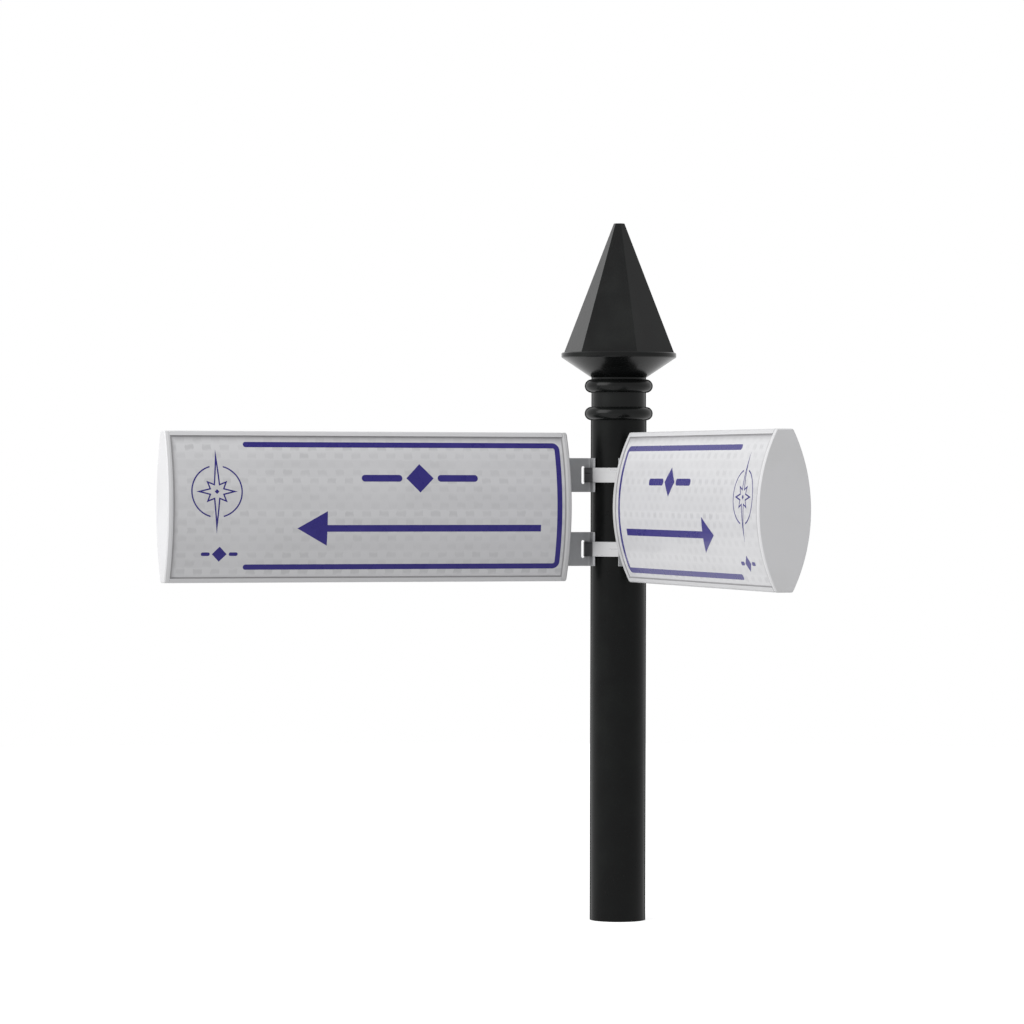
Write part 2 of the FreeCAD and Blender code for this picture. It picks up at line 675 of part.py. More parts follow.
# Build
make_post()
make_finial()
make_set_screws()
for side, sign in SIGNS.items():
    for name, flip in (("top", False), ("bottom", True)):
        make_rail(side, name, flip)
    for name, flip in (("front", sign["front"] < 0), ("back", sign["front"] > 0)):
        make_sheet(side, name + "_panel", PANEL_RADIUS,
                   "(%s - Sizes.panel_thickness)" % PANEL_RADIUS, flip)
        make_sheet(side, name + "_sheeting", SHEETING_RADIUS, PANEL_RADIUS, flip)
    make_end_cap(side, "outer", "(%s + Sizes.sign_length)" % SIGN_START, inner=False)
    make_end_cap(side, "inner", SIGN_START, inner=True)
    make_tie_rod(side, "upper", PORT_LEVEL)
    make_tie_rod(side, "lower", minus(PORT_LEVEL))
    for name in LEVELS:
        make_bracket(side, name)
    make_bracket_bolts(side)
for name in LEVELS:
    make_strap(name)
    make_buckle(name)
doc.recompute()

# Checks and export
for thing in doc.Objects:
    if "Invalid" in thing.State or "Error" in thing.State:
        raise RuntimeError("%s: %s" % (thing.Label, thing.State))
os.makedirs("parts", exist_ok=True)
for body in SUB_PARTS:
    if body.Shape.isNull() or not body.Shape.isValid():
        raise RuntimeError("bad shape: " + body.Label)
for body in SUB_PARTS:
    body.Shape.exportStep("parts/%s.step" % body.Label)
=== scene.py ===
"""Street name sign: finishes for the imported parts, the cut vinyl print and the studio."""

import math

import bmesh
import bpy
from mathutils import Euler, Matrix, Vector


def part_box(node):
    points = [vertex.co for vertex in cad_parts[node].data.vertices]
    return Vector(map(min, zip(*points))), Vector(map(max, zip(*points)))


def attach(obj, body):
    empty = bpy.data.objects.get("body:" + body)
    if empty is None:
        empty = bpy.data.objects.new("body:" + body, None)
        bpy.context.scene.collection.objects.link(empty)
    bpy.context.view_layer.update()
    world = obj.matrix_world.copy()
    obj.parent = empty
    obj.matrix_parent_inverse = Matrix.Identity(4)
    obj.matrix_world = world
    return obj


bl_info = {
    "name": "Street Name Sign",
    "version": (1, 0, 0),
    "blender": (4, 5, 0),
    "location": "View3D > Sidebar > Street Sign",
    "description": "Finishes the street name sign, lays its vinyl print and sets up the studio",
    "category": "Object",
}

MM = 0.001
SIDES = ("left", "right")
FACES = ("front", "back")

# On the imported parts: the height of a rail's lip, and the height at which the bell starts
RAIL_LIP = 6 * MM
BELL_FOOT = 741 * MM

# Vinyl, and the strip of painted shade round the film: their thickness, and the air between them and the
# film
VINYL_THICKNESS = 0.1 * MM
SHADE_LINE_THICKNESS = 0.5 * MM
FILM_GAP = 0.02 * MM

# Where the rose and the arrow sit: out from the sign's inner end, and up from its mid height
ROSE_PLACE = (493 * MM, 19 * MM)
ARROW_PLACE = (213 * MM, -30 * MM)
# The arrowhead's length as a share of its height
ARROW_HEAD = 0.9

# The dividers: name, place out and up, width over the bars and height of the lozenge
LARGE_LOZENGE = 38 * MM
DIVIDERS = (
    ("upper_divider", 213 * MM, 37 * MM, 162 * MM, LARGE_LOZENGE),
    ("small_divider", 488 * MM, -64 * MM, 50 * MM, 20 * MM),
)
# From lozenge to bar, as a share of the lozenge's height
DIVIDER_GAP = 0.15

# A bar's end is rounded by just under half its width, which keeps its two corners apart.
ROUND_END = 0.49
# Corners are found within NEAR of their place, and points within HAIR are taken as one.
NEAR = 1 * MM
HAIR = 0.01 * MM

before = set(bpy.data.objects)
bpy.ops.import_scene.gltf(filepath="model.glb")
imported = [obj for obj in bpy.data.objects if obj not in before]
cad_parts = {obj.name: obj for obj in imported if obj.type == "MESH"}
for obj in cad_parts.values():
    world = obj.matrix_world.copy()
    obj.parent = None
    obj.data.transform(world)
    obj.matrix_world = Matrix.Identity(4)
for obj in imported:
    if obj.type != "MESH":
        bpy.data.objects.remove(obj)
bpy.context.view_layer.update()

# The print is drawn in front of the left sign, in two measures: out from the sign's inner end,
# and up from its mid height.
film_low, film_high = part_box("left_front_sheeting")
INNER_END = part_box("left_inner_end_cap")[1].x
MID_HEIGHT = (film_low.z + film_high.z) / 2
DRAWING_PLANE = film_low.y - 10 * MM


# Helpers
def deselect_all():
    if bpy.context.mode != "OBJECT":
        bpy.ops.object.mode_set(mode="OBJECT")
    bpy.ops.object.select_all(action="DESELECT")


def pick(obj):
    """Makes an object the only selected one, and active."""
    deselect_all()
    obj.select_set(True)
    bpy.context.view_layer.objects.active = obj


def select_points(obj, wanted):
    """In edit mode, selects the vertices whose place passes the test, with their edges and faces."""
    mesh = bmesh.from_edit_mesh(obj.data)
    for vertex in mesh.verts:
        vertex.select_set(False)
    for vertex in mesh.verts:
        if wanted(vertex.co):
            vertex.select_set(True)
    mesh.select_flush_mode()
    bmesh.update_edit_mesh(obj.data)


def hex_colour(text):
    """Linear RGBA from an sRGB hex value."""
    channels = [int(text[i:i + 2], 16) / 255 for i in (1, 3, 5)]
    linear = [c / 12.92 if c <= 0.04045 else ((c + 0.055) / 1.055) ** 2.4 for c in channels]
    return (*linear, 1.0)


def add_node(tree, kind, inputs, **settings):
    """Adds a node with its settings, then fills its inputs. A node among them gives its first
    output."""
    node = tree.nodes.new(kind)
    for name, value in settings.items():
        setattr(node, name, value)
    for socket, value in inputs.items():
        if isinstance(value, bpy.types.Node):
            value = value.outputs[0]
        if isinstance(value, bpy.types.NodeSocket):
            tree.links.new(value, node.inputs[socket])
        else:
            node.inputs[socket].default_value = value
    return node


def start_material(name):
    """An empty node material, with the object's own coordinates to draw patterns on."""
    material = bpy.data.materials.new(name)
    material.use_nodes = True
    material.node_tree.nodes.clear()
    place = add_node(material.node_tree, "ShaderNodeTexCoord", {}).outputs["Object"]
    return material, material.node_tree, place


# Materials
def make_enamel(name, colour, grain, roughness, level):
    """Alkyd enamel on steel or iron. The eye sees near black with a faint orange peel, paler,
    chalky patches that are a little duller, and a soft mirror image where the gloss is kept."""
    patch_size, peel_depth = 45 * MM, 0.1 * MM
    chalky = hex_colour("#1c1f1d")
    material, tree, place = start_material(name)
    chalk = add_node(tree, "ShaderNodeTexNoise", {
        "Vector": place, "Scale": 1 / patch_size, "Detail": 5.0})
    amount = add_node(tree, "ShaderNodeMapRange", {
        "Value": chalk, "From Min": 0.45, "From Max": 0.8, "To Max": 0.5})
    paint = add_node(tree, "ShaderNodeMix", {0: amount, 6: colour, 7: chalky}, data_type="RGBA")
    gloss = add_node(tree, "ShaderNodeMapRange", {
        "Value": chalk, "From Min": 0.3, "From Max": 0.75,
        "To Min": roughness, "To Max": roughness + 0.12})
    peel = add_node(tree, "ShaderNodeTexNoise", {"Vector": place, "Scale": 1 / grain, "Detail": 3.0})
    relief = add_node(tree, "ShaderNodeBump", {
        "Height": peel, "Distance": peel_depth, "Strength": 0.15})

    # Seen edge on, the peel breaks up the gloss, but not on the cleaner paint above the neck.
    turned = add_node(tree, "ShaderNodeLayerWeight", {"Blend": 0.5})
    edge = add_node(tree, "ShaderNodeMapRange", {
        "Value": turned.outputs["Facing"], "From Min": 0.7, "From Max": 0.78})
    axes = add_node(tree, "ShaderNodeSeparateXYZ", {"Vector": place})
    below = add_node(tree, "ShaderNodeMapRange", {
        "Value": axes.outputs["Z"], "From Min": BELL_FOOT + 1 * MM, "From Max": BELL_FOOT - 1 * MM})
    dull = add_node(tree, "ShaderNodeMath", {0: edge, 1: below}, operation="MULTIPLY")
    matt = add_node(tree, "ShaderNodeMath", {0: gloss, 1: dull}, operation="MAXIMUM")
    shader = add_node(tree, "ShaderNodeBsdfPrincipled", {
        "Base Color": paint.outputs[2], "Roughness": matt, "Normal": relief,
        "IOR": 1.5, "Specular IOR Level": level})
    add_node(tree, "ShaderNodeOutputMaterial", {"Surface": shader})
    return material


def make_sheeting(name, colour, along):
    """Prismatic retroreflective film: acrylic over moulded prisms in staggered cells of about 12 by 11
    mm. The eye sees rows of pale and duller tiles with soft edges, and a little gloss. The film is also
    darkened under the top rail and beside the outer cap: painted shade."""
    cell_width, cell_height = 12 * MM, 11 * MM
    ripple_size, ripple_reach = 7 * MM, 5 * MM
    patch_size, shade_reach, prism_depth = 70 * MM, 9 * MM, 0.1 * MM
    dull_tile, shade_colour = hex_colour("#c2c2c4"), hex_colour("#98979a")
    material, tree, place = start_material(name)

    # Cells with slightly rippled edges, counted along the sign and up
    scale = [0.0, 0.0, 1 / cell_height]
    scale[along] = 1 / cell_width
    drift = add_node(tree, "ShaderNodeTexNoise", {
        "Vector": place, "Scale": 1 / ripple_size, "Detail": 1.0})
    shift = add_node(tree, "ShaderNodeVectorMath", {
        0: drift.outputs["Color"], 1: (0.5, 0.5, 0.5)}, operation="SUBTRACT")
    soft = add_node(tree, "ShaderNodeVectorMath", {0: shift, 1: [ripple_reach] * 3}, operation="MULTIPLY")
    moved = add_node(tree, "ShaderNodeVectorMath", {0: place, 1: soft}, operation="ADD")
    cells = add_node(tree, "ShaderNodeMapping", {"Vector": moved, "Scale": scale})
    corner = add_node(tree, "ShaderNodeVectorMath", {0: cells}, operation="FLOOR")

    # Every other cell is a dull tile, each by its own amount.
    checks = add_node(tree, "ShaderNodeTexChecker", {
        "Vector": cells, "Color1": (1, 1, 1, 1), "Color2": (0, 0, 0, 1), "Scale": 1.0})
    chance = add_node(tree, "ShaderNodeTexWhiteNoise", {"Vector": corner}, noise_dimensions="3D")
    vary = add_node(tree, "ShaderNodeMapRange", {"Value": chance, "To Min": 0.5, "To Max": 1.0})
    tiles = add_node(tree, "ShaderNodeMath", {0: checks, 1: vary}, operation="MULTIPLY")

    # The tiles fade at their upper and lower edges, and some rows show as tiles, others as bands.
    height = add_node(tree, "ShaderNodeSeparateXYZ", {"Vector": cells})
    swell = add_node(tree, "ShaderNodeMath", {0: height.outputs["Z"], 1: 0.5}, operation="PINGPONG")
    fade = add_node(tree, "ShaderNodeMapRange", {
        "Value": swell, "From Max": 0.4}, interpolation_type="SMOOTHSTEP")
    soft_tiles = add_node(tree, "ShaderNodeMath", {0: tiles, 1: fade}, operation="MULTIPLY")
    level = add_node(tree, "ShaderNodeSeparateXYZ", {"Vector": corner})
    row = add_node(tree, "ShaderNodeTexWhiteNoise", {"W": level.outputs["Z"]}, noise_dimensions="1D")
    strength = add_node(tree, "ShaderNodeMapRange", {"Value": row, "To Min": 0.15, "To Max": 1.0})
    shown = add_node(tree, "ShaderNodeMath", {0: soft_tiles, 1: strength}, operation="MULTIPLY")
    rows = add_node(tree, "ShaderNodeMapRange", {"Value": row, "To Min": 0.45, "To Max": 0.0})
    pattern = add_node(tree, "ShaderNodeMath", {0: shown, 1: rows}, operation="ADD")
    patches = add_node(tree, "ShaderNodeTexNoise", {
        "Vector": place, "Scale": 1 / patch_size, "Detail": 4.0})
    seen = add_node(tree, "ShaderNodeMapRange", {
        "Value": patches, "From Min": 0.35, "From Max": 0.65, "To Min": 0.5, "To Max": 1.0})
    amount = add_node(tree, "ShaderNodeMath", {0: pattern, 1: seen}, operation="MULTIPLY")
    film = add_node(tree, "ShaderNodeMix", {0: amount, 6: colour, 7: dull_tile}, data_type="RGBA")

    # Painted shade under the top rail's lip, and beside the outer cap, where the rails end
    rail_low, rail_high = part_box(SIDES[along] + "_top_rail")
    rail_edge = rail_high.z - RAIL_LIP
    cap_edge = rail_low[along]
    axes = add_node(tree, "ShaderNodeSeparateXYZ", {"Vector": place})
    under_rail = add_node(tree, "ShaderNodeMapRange", {
        "Value": axes.outputs["Z"], "From Min": rail_edge - shade_reach, "From Max": rail_edge,
        "To Max": 0.75}, interpolation_type="SMOOTHSTEP")
    by_cap = add_node(tree, "ShaderNodeMapRange", {
        "Value": axes.outputs["XY"[along]], "From Min": cap_edge + shade_reach, "From Max": cap_edge,
        "To Max": 0.5}, interpolation_type="SMOOTHSTEP")
    soil_and_shade = add_node(tree, "ShaderNodeMath", {0: under_rail, 1: by_cap}, operation="MAXIMUM")
    shaded = add_node(
        tree, "ShaderNodeMix", {0: soil_and_shade, 6: film.outputs[2], 7: shade_colour}, data_type="RGBA")

    # Real prisms are 0.2 mm: their lattice is drawn at 6 by 5.5 mm, so that it shows.
    lattice = add_node(tree, "ShaderNodeMapping", {"Vector": cells, "Scale": (2, 2, 2)})
    prisms = add_node(tree, "ShaderNodeTexVoronoi", {"Vector": lattice, "Scale": 1.0, "Randomness": 0.1})
    relief = add_node(tree, "ShaderNodeBump", {
        "Height": prisms, "Distance": prism_depth, "Strength": 0.12})
    shader = add_node(tree, "ShaderNodeBsdfPrincipled", {
        "Base Color": shaded.outputs[2], "Roughness": 0.45, "Normal": relief,
        "IOR": 1.49, "Specular IOR Level": 0.2, "Coat Weight": 0.2, "Coat Roughness": 0.1})
    add_node(tree, "ShaderNodeOutputMaterial", {"Surface": shader})
    return material


def make_vinyl(name, colour):
    """Cast vinyl film, knife cut: deep indigo with an even plastic sheen, a little paler
    where the sun has reached it."""
    patch_size = 30 * MM
    faded = hex_colour("#48408f")
    material, tree, place = start_material(name)
    sun = add_node(tree, "ShaderNodeTexNoise", {"Vector": place, "Scale": 1 / patch_size, "Detail": 4.0})
    amount = add_node(tree, "ShaderNodeMapRange", {
        "Value": sun, "From Min": 0.45, "From Max": 0.8, "To Max": 0.35})
    film = add_node(tree, "ShaderNodeMix", {0: amount, 6: colour, 7: faded}, data_type="RGBA")
    gloss = add_node(tree, "ShaderNodeMapRange", {"Value": sun, "To Min": 0.22, "To Max": 0.34})
    shader = add_node(tree, "ShaderNodeBsdfPrincipled", {
        "Base Color": film.outputs[2], "Roughness": gloss, "IOR": 1.5, "Specular IOR Level": 0.2})
    add_node(tree, "ShaderNodeOutputMaterial", {"Surface": shader})
    return material


def make_shade_line(name, colour):
    """A grey matt strip laid in the groove round the film: painted shade for the shadow there, paled
    unevenly in patches.
    """
    patch_size = 20 * MM
    dusty = hex_colour("#acabad")
    material, tree, place = start_material(name)
    dust = add_node(tree, "ShaderNodeTexNoise", {"Vector": place, "Scale": 1 / patch_size, "Detail": 4.0})
    skin = add_node(tree, "ShaderNodeMix", {0: dust, 6: colour, 7: dusty}, data_type="RGBA")
    shader = add_node(tree, "ShaderNodeBsdfPrincipled", {
        "Base Color": skin.outputs[2], "Roughness": 0.75, "IOR": 1.5})
    add_node(tree, "ShaderNodeOutputMaterial", {"Surface": shader})
    return material


def make_powder_coat(name, colour):
    """Polyester powder coat on aluminium: pale, satin, with a fine orange peel of some
    2 mm and a trace of dust."""
    patch_size, peel_size, peel_depth = 60 * MM, 2 * MM, 0.08 * MM
    dusty = hex_colour("#cdcdcb")
    material, tree, place = start_material(name)
    dust = add_node(tree, "ShaderNodeTexNoise", {"Vector": place, "Scale": 1 / patch_size, "Detail": 5.0})
    amount = add_node(tree, "ShaderNodeMapRange", {
        "Value": dust, "From Min": 0.45, "From Max": 0.8, "To Max": 0.35})
    paint = add_node(tree, "ShaderNodeMix", {0: amount, 6: colour, 7: dusty}, data_type="RGBA")
    peel = add_node(tree, "ShaderNodeTexNoise", {"Vector": place, "Scale": 1 / peel_size, "Detail": 2.0})
    relief = add_node(tree, "ShaderNodeBump", {
        "Height": peel, "Distance": peel_depth, "Strength": 0.2})
    shader = add_node(tree, "ShaderNodeBsdfPrincipled", {
        "Base Color": paint.outputs[2], "Roughness": 0.45, "Normal": relief, "IOR": 1.5})
    add_node(tree, "ShaderNodeOutputMaterial", {"Surface": shader})
    return material


def make_metal(name, colour, soil_and_shade, grain, roughness, metallic=1.0, bend=0.0, beyond=None):
    """Bare or plated metal. Its grain is drawn out along the way it was rolled, and soil dulls it in
    patches. A fitting that is bent beside the post has another tone beyond the bend, a painted tone for
    the light and shade that fall there, which is given by how far out from the post's axis it is."""
    patch_size, bend_width, grain_depth = 30 * MM, 1.5 * MM, 0.04 * MM
    material, tree, place = start_material(name)
    drawn = add_node(tree, "ShaderNodeMapping", {"Vector": place, "Scale": [1 / size for size in grain]})
    lines = add_node(tree, "ShaderNodeTexNoise", {"Vector": drawn, "Scale": 1.0, "Detail": 4.0})
    patches = add_node(tree, "ShaderNodeTexNoise", {
        "Vector": place, "Scale": 1 / patch_size, "Detail": 5.0})
    amount = add_node(tree, "ShaderNodeMapRange", {
        "Value": patches, "From Min": 0.45, "From Max": 0.8, "To Max": 0.6})
    surface = add_node(tree, "ShaderNodeMix", {0: amount, 6: colour, 7: soil_and_shade}, data_type="RGBA")
    # Beyond the bend the colour is a painted tone that stands in for the light and shade there.
    if beyond is not None:
        axes = add_node(tree, "ShaderNodeSeparateXYZ", {"Vector": place})
        outward = add_node(tree, "ShaderNodeMath", {
            0: axes.outputs["X"], 1: axes.outputs["Y"]}, operation="MINIMUM")
        past = add_node(tree, "ShaderNodeMapRange", {
            "Value": outward, "From Min": -bend, "From Max": -bend - bend_width})
        surface = add_node(
            tree, "ShaderNodeMix", {0: past, 6: surface.outputs[2], 7: beyond}, data_type="RGBA")
    gloss = add_node(tree, "ShaderNodeMapRange", {
        "Value": lines, "From Min": 0.3, "From Max": 0.7,
        "To Min": roughness - 0.07, "To Max": roughness + 0.07})
    relief = add_node(tree, "ShaderNodeBump", {
        "Height": lines, "Distance": grain_depth, "Strength": 0.3})
    shader = add_node(tree, "ShaderNodeBsdfPrincipled", {
        "Base Color": surface.outputs[2], "Metallic": metallic, "Roughness": gloss, "Normal": relief})
    add_node(tree, "ShaderNodeOutputMaterial", {"Surface": shader})
    return material


def background_rays(tree):
    """1 for a ray that comes from the camera, off gloss or through glass, and 0 for the rest."""
    ray = add_node(tree, "ShaderNodeLightPath", {})
    seen = add_node(tree, "ShaderNodeMath", {
        0: ray.outputs["Is Camera Ray"], 1: ray.outputs["Is Glossy Ray"]}, operation="MAXIMUM")
    return add_node(tree, "ShaderNodeMath", {
        0: seen, 1: ray.outputs["Is Transmission Ray"]}, operation="MAXIMUM")


def dress(material, *nodes):
    """Gives CAD nodes their finish."""
    for node in nodes:
        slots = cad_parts[node].data.materials
        slots.clear()
        slots.append(material)


# Drawing the print
def stand_upright(out, up):
    """Where a new primitive is added and how it is turned, to face forward on the drawing plane."""
    return {
        "location": (INNER_END - out, DRAWING_PLANE, MID_HEIGHT + up),
        "rotation": (math.radians(90), 0, 0),
    }


def open_shape(name):
    """Names the primitive just added, puts its place into its mesh, and leaves it in edit mode
    with all of it selected."""
    shape = bpy.context.object
    shape.name = shape.data.name = name
    bpy.ops.object.transform_apply(location=True, rotation=True, scale=True)
    bpy.ops.object.mode_set(mode="EDIT")
    bpy.ops.mesh.select_all(action="SELECT")
    return shape


def start_sheet(name, out, up, width, height):
    """A flat rectangle in front of the left sign, centred out along it and up from its middle."""
    deselect_all()
    bpy.ops.mesh.primitive_plane_add(size=1, **stand_upright(out, up))
    bpy.context.object.scale = (width, height, 1)
    return open_shape(name)


def start_disc(name, out, up, radius, corners):
    """As start_sheet, for a regular polygon or disc with one corner at the top."""
    deselect_all()
    bpy.ops.mesh.primitive_circle_add(
        vertices=corners, radius=radius, fill_type="NGON", **stand_upright(out, up))
    return open_shape(name)


def leave_outline(width):
    """Insets the selected face and takes the middle out, so that a line of that width is left."""
    bpy.ops.mesh.inset(thickness=width, use_even_offset=True)
    bpy.ops.mesh.delete(type="FACE")
    bpy.ops.mesh.select_all(action="SELECT")


def join_sheets(name, sheets):
    deselect_all()
    for sheet in sheets:
        sheet.select_set(True)
    bpy.context.view_layer.objects.active = sheets[0]
    bpy.ops.object.join()
    sheets[0].name = sheets[0].data.name = name
    return sheets[0]


def lay_on_film(sheet):
    """Cuts a flat sheet into rows and presses it onto the arched film behind it."""
    pick(sheet)
    row = 5 * MM
    low = min(vertex.co.z for vertex in sheet.data.vertices)
    high = max(vertex.co.z for vertex in sheet.data.vertices)
    bpy.ops.object.mode_set(mode="EDIT")
    for step in range(1, int((high - low) / row) + 1):
        bpy.ops.mesh.select_all(action="SELECT")
        bpy.ops.mesh.bisect(plane_co=(0, 0, low + step * row), plane_no=(0, 0, 1))
    bpy.ops.object.mode_set(mode="OBJECT")
    wrap = sheet.modifiers.new("Press", "SHRINKWRAP")
    wrap.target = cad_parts["left_front_sheeting"]
    wrap.wrap_method = "PROJECT"
    wrap.wrap_mode = "ABOVE_SURFACE"
    wrap.use_project_y = True
    wrap.offset = FILM_GAP
    bpy.ops.object.modifier_apply(modifier=wrap.name)


def turn_to_face(piece, side, face):
    """Takes a sheet from the left sign's front to a face of a sign, with its normals outward."""
    # The left sign turned a quarter has its back to the right sign's front.
    if (face == "back") != (side == "right"):
        piece.scale.y = -1
    if side == "right":
        piece.rotation_euler.z = math.radians(90)
    bpy.ops.object.transform_apply(location=True, rotation=True, scale=True)
    outward = Vector((0, -1, 0)) if side == "left" else Vector((-1, 0, 0))
    if face == "back":
        outward.negate()
    if sum((polygon.normal for polygon in piece.data.polygons), Vector()).dot(outward) < 0:
        bpy.ops.object.mode_set(mode="EDIT")
        bpy.ops.mesh.select_all(action="SELECT")
        bpy.ops.mesh.flip_normals()
        bpy.ops.object.mode_set(mode="OBJECT")


def finish_print(sheet, word, material, thickness=VINYL_THICKNESS, moved=True):
    """For each sign, moves a copy of a flat sheet to its place, lays it on the film, copies it
    to both faces, thickens each copy and puts it on the body."""
    sizes = bpy.context.scene.street_sign_sizes
    for side, offset in (("left", sizes.left_offset), ("right", sizes.right_offset)):
        pick(sheet)
        bpy.ops.object.duplicate()
        laid = bpy.context.object
        if moved:
            laid.location = (-offset[0], 0, offset[1])
            bpy.ops.object.transform_apply(location=True, rotation=True, scale=True)
        lay_on_film(laid)
        for face in FACES:
            pick(laid)
            bpy.ops.object.duplicate()
            piece = bpy.context.object
            piece.name = piece.data.name = "%s_%s_%s" % (side, face, word)
            turn_to_face(piece, side, face)
            wall = piece.modifiers.new("Thickness", "SOLIDIFY")
            wall.thickness = thickness
            wall.offset = 1
            bpy.ops.object.modifier_apply(modifier=wall.name)
            piece.data.materials.clear()
            piece.data.materials.append(material)
            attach(piece, "root")
        pick(laid)
        bpy.ops.object.delete()
    pick(sheet)
    bpy.ops.object.delete()


def finish_vinyl(sheet, word):
    """Finishes a piece of the print in the vinyl that the Mix Vinyl operator made."""
    finish_print(sheet, word, bpy.data.materials["cut_vinyl"])


# Settings
class StreetSignSizes(bpy.types.PropertyGroup):
    # Width of the grey strip of painted shade that stands in for the shadow round the film
    shade_line_width: bpy.props.FloatProperty(
        name="Shade line width", description="Width of the painted shade line round the film",
        default=1.8 * MM, unit="LENGTH")
    left_offset: bpy.props.FloatVectorProperty(
        name="Left offset",
        description="How far out and up the left sign's print sits from its drawn place",
        default=(0, 1.5 * MM), size=2, unit="LENGTH")
    right_offset: bpy.props.FloatVectorProperty(
        name="Right offset",
        description="How far out and up the right sign's print sits from its drawn place",
        default=(5.5 * MM, -2.6 * MM), size=2, unit="LENGTH")
    border_reach: bpy.props.FloatProperty(
        name="Border reach",
        description="From the sign's mid height to the outside of the border's bars",
        default=84.9 * MM, unit="LENGTH")
    border_start: bpy.props.FloatProperty(
        name="Border start", description="From the sign's inner end to the border's upright bar",
        default=13.2 * MM, unit="LENGTH")
    border_end: bpy.props.FloatProperty(
        name="Border end", description="From the sign's inner end to the free ends of the bars",
        default=454.5 * MM, unit="LENGTH")
    border_width: bpy.props.FloatProperty(
        name="Border width", description="Width of the border's bars",
        default=7.0 * MM, unit="LENGTH")
    border_corner: bpy.props.FloatProperty(
        name="Border corner", description="Outer radius of the border's corners",
        default=9.5 * MM, unit="LENGTH")
    rose_height: bpy.props.FloatProperty(
        name="Rose height", description="Height of the compass rose between its long points",
        default=112 * MM, unit="LENGTH")
    rose_width: bpy.props.FloatProperty(
        name="Rose width", description="Width of the compass rose over its ring",
        default=70 * MM, unit="LENGTH")
    line_width: bpy.props.FloatProperty(
        name="Line width", description="Width of the compass rose's lines",
        default=1.8 * MM, unit="LENGTH")
    arrow_length: bpy.props.FloatProperty(
        name="Arrow length", description="Length of the direction arrow",
        default=340 * MM, unit="LENGTH")
    arrow_height: bpy.props.FloatProperty(
        name="Arrow height", description="Height of the direction arrow's head",
        default=46 * MM, unit="LENGTH")
    stroke: bpy.props.FloatProperty(
        name="Stroke", description="Thickness of the arrow's shaft and of the large divider's bars",
        default=9 * MM, unit="LENGTH")


class StreetSignColours(bpy.types.PropertyGroup):
    enamel: bpy.props.FloatVectorProperty(
        name="Enamel", description="Paint of the post and the spire",
        default=hex_colour("#101111"), size=4, subtype="COLOR", min=0, max=1)
    film: bpy.props.FloatVectorProperty(
        name="Film", description="Retroreflective film of the faces",
        default=hex_colour("#d8d8da"), size=4, subtype="COLOR", min=0, max=1)
    vinyl: bpy.props.FloatVectorProperty(
        name="Vinyl", description="Cut vinyl of the print",
        default=hex_colour("#30297a"), size=4, subtype="COLOR", min=0, max=1)
    powder_coat: bpy.props.FloatVectorProperty(
        name="Powder coat", description="Powder coat of the outer end caps",
        default=hex_colour("#dfdfe1"), size=4, subtype="COLOR", min=0, max=1)


# Operators
class STREET_SIGN_OT_finish_post(bpy.types.Operator):
    """Paint the post and its cast spire, and finish the spire's screws"""

    bl_idname = "street_sign.finish_post"
    bl_label = "Finish Post and Spire"

    def execute(self, context):
        enamel = context.scene.street_sign_colours.enamel
        satin = make_enamel(
            "satin_enamel_on_steel_tube", enamel, grain=3 * MM, roughness=0.25, level=0.1)
        gloss = make_enamel(
            "gloss_enamel_on_cast_iron", enamel, grain=1.8 * MM, roughness=0.15, level=0.17)
        black_oxide = make_metal("black_oxide_screws", hex_colour("#2a2b2c"), hex_colour("#191a1a"),
                                 grain=[2 * MM] * 3, roughness=0.4)
        dress(satin, "post_tube")
        dress(gloss, "spire_finial")
        dress(black_oxide, "finial_set_screws")
        return {"FINISHED"}


class STREET_SIGN_OT_finish_signs(bpy.types.Operator):
    """Finish the sign boxes: rails, panels, film and end caps"""

    bl_idname = "street_sign.finish_signs"
    bl_label = "Finish Sign Boxes"

    def execute(self, context):
        colours = context.scene.street_sign_colours
        # The outer caps take the coat as it is. The rails take a slightly darker copy, and the inner caps
        # a darker one still: painted shade for the weaker light at the sign's inner end.
        outer_coat = make_powder_coat("polyester_powder_coat", colours.powder_coat)
        dusty = make_powder_coat("rail_powder_coat", hex_colour("#d5d5d7"))
        shaded = make_powder_coat("shaded_powder_coat", hex_colour("#c9c9ca"))
        for along, side in enumerate(SIDES):
            # The sheet was rolled along the sign.
            grain = [0.6 * MM] * 3
            grain[along] = 60 * MM
            panel = make_metal("mill_finish_aluminium_sheet_" + side, hex_colour("#c4c5c7"),
                               hex_colour("#a9aaab"), grain, roughness=0.35)
            film = make_sheeting("prismatic_sheeting_" + side, colours.film, along)
            dress(outer_coat, side + "_outer_end_cap")
            dress(dusty, side + "_top_rail", side + "_bottom_rail")
            dress(shaded, side + "_inner_end_cap")
            for face in FACES:
                dress(panel, "%s_%s_panel" % (side, face))
                dress(film, "%s_%s_sheeting" % (side, face))
        return {"FINISHED"}


